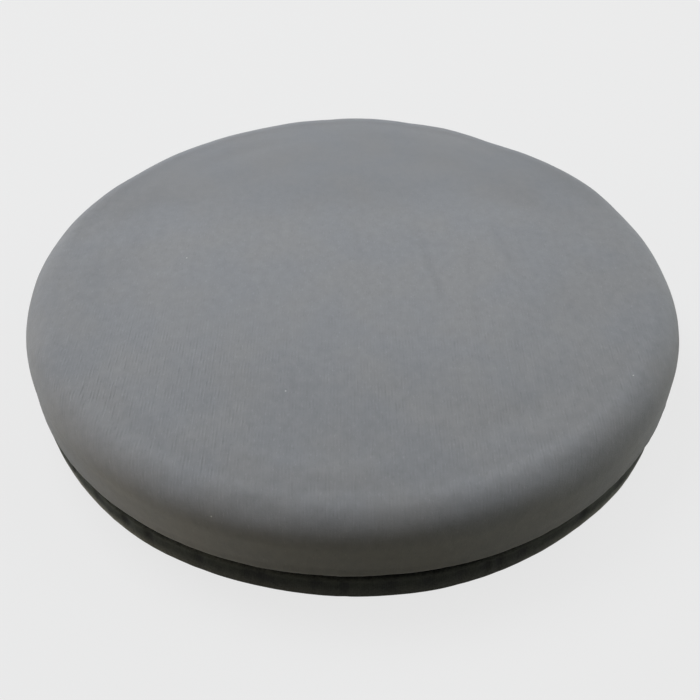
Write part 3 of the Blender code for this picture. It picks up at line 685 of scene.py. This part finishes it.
def make_cushion(finishes):
    """The knit cover, the foam in it and the elastic in its hem."""
    shape_cushion = fill_cover()
    hem_centre = (HEM_RADIUS, UNDERSIDE - HEM_ROLL)
    outline = cushion_outline(0.0)
    outline += line(outline[-1], (HEM_RADIUS, UNDERSIDE), count=8)
    outline += arc(hem_centre, (HEM_ROLL, HEM_ROLL), start=90, end=335, count=12)
    mesh = turned("seat_cover_knit", outline, segments=420, move=shape_cushion)
    # How near each point is to the creases, which the knit's finish uses for painted shade along them
    mark_points(mesh, "crease", lambda x, y, z: top_creases(x, y) * (z > RIM - SHOULDER_DROP))
    cover = add_piece(mesh, finishes["grey_knit"], "seat", "seat_cover")
    thicken(cover, KNIT)

    # The foam is flat underneath, with a pocket over the pivot
    outline = [p for p in cushion_outline(KNIT + FIT) if p[1] > FOAM_LOW.z or p[0] < POCKET_RADIUS]
    outline += line((outline[-1][0], FOAM_LOW.z), (POCKET_RADIUS, FOAM_LOW.z), count=12)
    outline += line(outline[-1], (POCKET_RADIUS, FOAM_LOW.z + POCKET_DEPTH), count=3)
    outline.append((0.0, FOAM_LOW.z + POCKET_DEPTH))
    mesh = turned("foam_disc", outline, segments=180, move=shape_cushion)
    foam = add_piece(mesh, finishes["cream_foam"], "seat", "foam_pad")

    centre = (HEM_RADIUS, (ELASTIC_LOW.z + ELASTIC_HIGH.z) / 2)
    cord = arc(centre, (ELASTIC_RADIUS, ELASTIC_RADIUS), start=360, end=0, count=12)
    mesh = turned("hem_elastic", cord[-1:] + cord, segments=240, wrap="band")
    add_piece(mesh, finishes["white_elastic"], "seat", "cover_elastic")


# Base

# Where the base cloth stands out or in, in the terms of the cushion's edge
BAND_SWELLS = ((190, 14, 0.6), (214, 8, -0.4), (235, 9, 0.4), (256, 8, -0.3), (283, 13, 0.9), (320, 8, 0.5),
               (100, 20, 0.5), (60, 12, -0.4))

# Upright puckers in the front of the base cloth, in degrees from +X
FRONT_PUCKERS = (206, 219, 226, 233, 238, 247, 255, 257, 265, 269, 275.5, 281, 286, 290, 292, 296, 308, 317,
                 329)

# Those round the back follow by chance, until one is past the last direction. Gaps and widths are in degrees.
# A pucker starts at a share of the cloth's height and is full one rise higher.
PUCKERS_END = 200 + 360
PUCKER_GAP = (4, 13)
PUCKER_HALF_WIDTH = (0.5, 1.1)
PUCKER_STRENGTH = (0.3, 1.0)
PUCKER_START = (-0.3, 0.3)
PUCKER_RISE = 0.8
PUCKER_DEPTH = 0.9 * MM

# Uneven pull of the cloth: the size of its lumps, and how far it moves the cloth out or in. Rucks are longer
# upright, by this squeeze in height.
PULL, PULL_OUT = 40 * MM, 0.25 * MM
RUCK, RUCK_OUT = 6 * MM, 0.12 * MM
RUCK_SQUEEZE = 0.3

# All of it starts and is full at these radii, so that the flap and the turned-under edge hardly move
OUTSIDE = (BASE_RADIUS - 6 * MM, BASE_RADIUS - 1 * MM)


def puckers(angle, up):
    """How deep the base cloth's upright puckers are at each point, from 0 to about 1, deepest at the rim."""
    draw = Random(4)
    places = list(FRONT_PUCKERS)
    while places[-1] < PUCKERS_END:
        places.append(places[-1] + draw.uniform(*PUCKER_GAP))
    depth = np.zeros_like(angle)
    for direction in places:
        width = draw.uniform(*PUCKER_HALF_WIDTH)
        most = draw.uniform(*PUCKER_STRENGTH)
        start = draw.uniform(*PUCKER_START)
        off = (np.degrees(angle) - direction + 180) % 360 - 180
        depth += most * np.exp(-(off / width) ** 2) * rise(up, start, start + PUCKER_RISE)
    return depth


def height_share(height):
    """How high a point of the base cloth is, from 0 at the foot to 1 at the rim."""
    return (height - BASE_LOW.z) / (BASE_HIGH.z - BASE_LOW.z)


def shape_band(angle, radius, height):
    """The base cloth's puckers and its uneven pull."""
    pull = rough(angle, radius, height, PULL, seed=8.0)
    rucks = rough(angle, radius, RUCK_SQUEEZE * height, RUCK, seed=5.0)
    drawn = swells(angle, BAND_SWELLS) - PUCKER_DEPTH * puckers(angle, height_share(height))
    return radius + rise(radius, *OUTSIDE) * (drawn + PULL_OUT * pull + RUCK_OUT * rucks), height


def make_base_cloth(finishes):
    """The black cloth from its flap inside the rim, over it, down the side and under the foot."""
    rim = (BASE_RADIUS - BASE_RIM_ROUND, BASE_HIGH.z - BASE_RIM_ROUND)
    foot = (BASE_RADIUS - BASE_FOOT_ROUND, BASE_LOW.z + BASE_FOOT_ROUND)
    outline = [(BASE_INSIDE, BASE_HIGH.z - BASE_FLAP)]
    outline += line(outline[-1], (BASE_INSIDE, BASE_HIGH.z), count=4)
    outline += line(outline[-1], (rim[0], BASE_HIGH.z), count=3)
    outline += arc(rim, (BASE_RIM_ROUND, BASE_RIM_ROUND), start=90, end=0, count=6)
    outline += [(BASE_RADIUS + BASE_BELLY * math.sin(math.pi * share), rim[1] + share * (foot[1] - rim[1]))
                for share in np.linspace(0.0, 1.0, 17)[1:]]
    outline += arc(foot, (BASE_FOOT_ROUND, BASE_FOOT_ROUND), start=0, end=-90, count=6)
    outline += line(outline[-1], (foot[0] - BASE_TURN_UNDER, BASE_LOW.z), count=6)
    mesh = turned("base_cloth", outline, segments=960, move=shape_band, wrap="band")
    # How deep the puckers are, which the cloth's finish uses for painted shade in them
    mark_points(mesh, "pucker", lambda x, y, z: puckers(np.arctan2(y, x), height_share(z)))
    # Painted light and some wear at the foot, more towards the left and right ends
    mark_points(mesh, "wear_and_light", lambda x, y, z: WEAR_AND_LIGHT_FRONT + (WEAR_AND_LIGHT_ENDS - WEAR_AND_LIGHT_FRONT)
                * rise(np.abs(x) / BASE_RADIUS, WEAR_AND_LIGHT_FROM, WEAR_AND_LIGHT_FULL))
    band = add_piece(mesh, finishes["black_cloth"], "base", "base_cover")
    thicken(band, BASE_CLOTH)


def make_mat(finishes):
    """The rubber mat: three ring treads, and fine ring ribs between them to grip."""
    tread_mouth = MAT_TREAD_WIDTH / 2
    grooves = [(tread, tread_mouth, tread_mouth - MAT_TREAD_TAPER, MAT_TREAD_DEPTH) for tread in MAT_TREADS]
    for index in range(1, int(MAT_HIGH.x / MAT_RIB_PITCH)):
        middle = index * MAT_RIB_PITCH
        if all(abs(middle - tread) >= MAT_RIB_PITCH for tread in MAT_TREADS):
            grooves.append((middle, MAT_RIB_MOUTH, MAT_RIB_FLOOR, MAT_RIB_DEPTH))
    outline = [(0.0, MAT_HIGH.z), (MAT_HIGH.x - MAT_EDGE, MAT_HIGH.z), (MAT_HIGH.x, MAT_HIGH.z - MAT_EDGE),
               (MAT_HIGH.x, MAT_LOW.z)]
    for middle, mouth, floor, depth in sorted(grooves, reverse=True):
        outline += [(middle + mouth, MAT_LOW.z), (middle + floor, MAT_LOW.z + depth),
                    (middle - floor, MAT_LOW.z + depth), (middle - mouth, MAT_LOW.z)]
    mesh = turned("rubber_mat", outline + [(0.0, MAT_LOW.z)], segments=180)
    mesh.set_sharp_from_angle(angle=math.radians(30))
    add_piece(mesh, finishes["black_rubber"], "base", "anti_slip_mat")


def finish_cad_nodes(finishes):
    """Gives each CAD node that still shows its finish."""
    slots = {row["node"]: row["material_slot"] for row in frame["record"]["subparts"]}
    for name, node in frame["nodes"].items():
        if node.hide_render:
            continue
        node.data.materials.clear()
        node.data.materials.append(finishes[slots[name]])


# Stage

FLOOR_PALE = "#ebebeb"
FLOOR_BOUNCE = "#b2ac99"              # the floor as it lights the object from below
FLOOR_REACH = 12.0
FLOOR_DROP = 0.2 * MM
FLOOR_SHADOW_SHARE = 0.09             # how much of the floor's paleness the shadow can take away
FLOOR_SHADOW_REACH = (0.3, 1.0)       # how far out the shadow is full, and how far out it is gone, in metres
LAMP_SIZE = 1.2
LAMP_DISTANCE = 2.5

# The photograph's view. Its width, its focal length and the middle of the underside are in pixels.
PHOTO_WIDTH = 700.0
PHOTO_FOCAL = 900.0
PHOTO_MIDDLE = (351.3, 335.6)
CAMERA_DISTANCE = 3.006 * CUSHION_RADIUS
CAMERA_ELEVATION = math.radians(42.01)
CAMERA_ROLL = math.radians(-0.155)
SENSOR_WIDTH = 36.0                   # of a full-frame camera, in millimetres


def seen_directly(tree):
    """Is 1 for what the camera sees, directly or in gloss or glass."""
    path = add_node(tree, "ShaderNodeLightPath")
    seen = add_node(tree, "ShaderNodeMath", {"operation": "MAXIMUM"},
                    {0: path.outputs["Is Camera Ray"], 1: path.outputs["Is Glossy Ray"]})
    return add_node(tree, "ShaderNodeMath", {"operation": "MAXIMUM"},
                    {0: seen, 1: path.outputs["Is Transmission Ray"]})


def make_floor():
    """A pale floor that keeps a soft shadow near the object and lights it from below."""
    material, tree = new_material("pale_floor")
    place = add_node(tree, "ShaderNodeTexCoord")
    far = add_node(tree, "ShaderNodeVectorMath", {"operation": "LENGTH"}, {0: place.outputs["Object"]})
    near, gone = FLOOR_SHADOW_REACH
    share = add_node(tree, "ShaderNodeMapRange",
                     {"From Min": near, "From Max": gone, "To Min": FLOOR_SHADOW_SHARE, "To Max": 0.0},
                     {"Value": far.outputs["Value"]})
    pale = add_node(tree, "ShaderNodeEmission", {"Color": linear(FLOOR_PALE)})
    matte = add_node(tree, "ShaderNodeBsdfDiffuse", {"Color": linear(FLOOR_PALE)})
    lit = add_node(tree, "ShaderNodeMixShader", links={0: share, 1: pale, 2: matte})
    dull = add_node(tree, "ShaderNodeBsdfDiffuse", {"Color": linear(FLOOR_BOUNCE)})
    both = add_node(tree, "ShaderNodeMixShader", links={0: seen_directly(tree), 1: dull, 2: lit})
    add_node(tree, "ShaderNodeOutputMaterial", links={"Surface": both})
    mesh = bpy.data.meshes.new("floor")
    corners = [(x * FLOOR_REACH, y * FLOOR_REACH, 0) for x, y in ((-1, -1), (1, -1), (1, 1), (-1, 1))]
    mesh.from_pydata(corners, [], [(0, 1, 2, 3)])
    mesh.materials.append(material)
    floor = bpy.data.objects.new("floor", mesh)
    floor.location.z = -FLOOR_DROP
    bpy.context.scene.collection.objects.link(floor)


def add_lamp(name, azimuth, elevation, strength, colour):
    """A soft square lamp, aimed at the object. Azimuth is in degrees from the back towards the left, and a
    strength of 1 lights a face turned to it so that its colour renders as written."""
    lamp = bpy.data.lights.new(name, "AREA")
    lamp.shape = "SQUARE"
    lamp.size = LAMP_SIZE
    lamp.energy = strength * (math.pi * LAMP_DISTANCE) ** 2
    lamp.color = linear(colour)[:3]
    a, e = math.radians(azimuth), math.radians(elevation)
    towards = Vector((-math.sin(a) * math.cos(e), math.cos(a) * math.cos(e), math.sin(e)))
    holder = bpy.data.objects.new(name, lamp)
    holder.location = towards * LAMP_DISTANCE
    holder.rotation_mode = "QUATERNION"
    holder.rotation_quaternion = towards.to_track_quat("Z", "Y")
    bpy.context.scene.collection.objects.link(holder)


def make_light():
    """Soft light from behind, above and both sides, so that the side towards the camera lies in shade."""
    add_lamp("above", 0, 85, 0.12, "#ffffff")
    add_lamp("back_left", 45, 57, 0.59, "#f8fbff")
    add_lamp("back_right", -45, 46, 0.22, "#f0f8ff")
    add_lamp("low_left", 90, 8, 0.43, "#fff2dc")
    add_lamp("low_back_left", 65, 10, 0.28, "#d0e8ff")
    add_lamp("right", -90, 32, 0.15, "#fcfff4")
    add_lamp("low_right", -60, 10, 0.32, "#fdfffd")
    world = bpy.data.worlds.new("studio")
    bpy.context.scene.world = world
    world.use_nodes = True
    tree = world.node_tree
    tree.nodes.clear()
    fill = add_node(tree, "ShaderNodeBackground", {"Color": linear("#fff8f0"), "Strength": 0.01})
    backdrop = add_node(tree, "ShaderNodeBackground", {"Color": linear(FLOOR_PALE)})
    both = add_node(tree, "ShaderNodeMixShader", links={0: seen_directly(tree), 1: fill, 2: backdrop})
    add_node(tree, "ShaderNodeOutputWorld", links={"Surface": both})


def make_camera():
    """The photograph's view, from the front and above."""
    back = CAMERA_DISTANCE * math.cos(CAMERA_ELEVATION)
    up = CAMERA_DISTANCE * math.sin(CAMERA_ELEVATION)
    off_right, off_down = [pixel - PHOTO_WIDTH / 2 for pixel in PHOTO_MIDDLE]
    lens = bpy.data.cameras.new("camera")
    lens.sensor_fit = "HORIZONTAL"
    lens.sensor_width = SENSOR_WIDTH
    lens.lens = PHOTO_FOCAL / PHOTO_WIDTH * SENSOR_WIDTH
    lens.clip_start = 0.01
    camera = bpy.data.objects.new("camera", lens)
    place = Matrix.Translation((0.0, -back, up))
    aim = Matrix.Rotation(math.pi / 2 - CAMERA_ELEVATION, 4, "X")
    yaw = Matrix.Rotation(math.atan(off_right / PHOTO_FOCAL), 4, "Y")
    pitch = Matrix.Rotation(math.atan(off_down / PHOTO_FOCAL), 4, "X")
    roll = Matrix.Rotation(CAMERA_ROLL, 4, "Z")
    camera.matrix_world = place @ aim @ yaw @ pitch @ roll
    bpy.context.scene.collection.objects.link(camera)
    bpy.context.scene.camera = camera


all_finishes = make_finishes()
make_cushion(all_finishes)
make_base_cloth(all_finishes)
make_mat(all_finishes)
finish_cad_nodes(all_finishes)
make_floor()
make_light()
make_camera()
bpy.context.scene.view_settings.view_transform = "Standard"
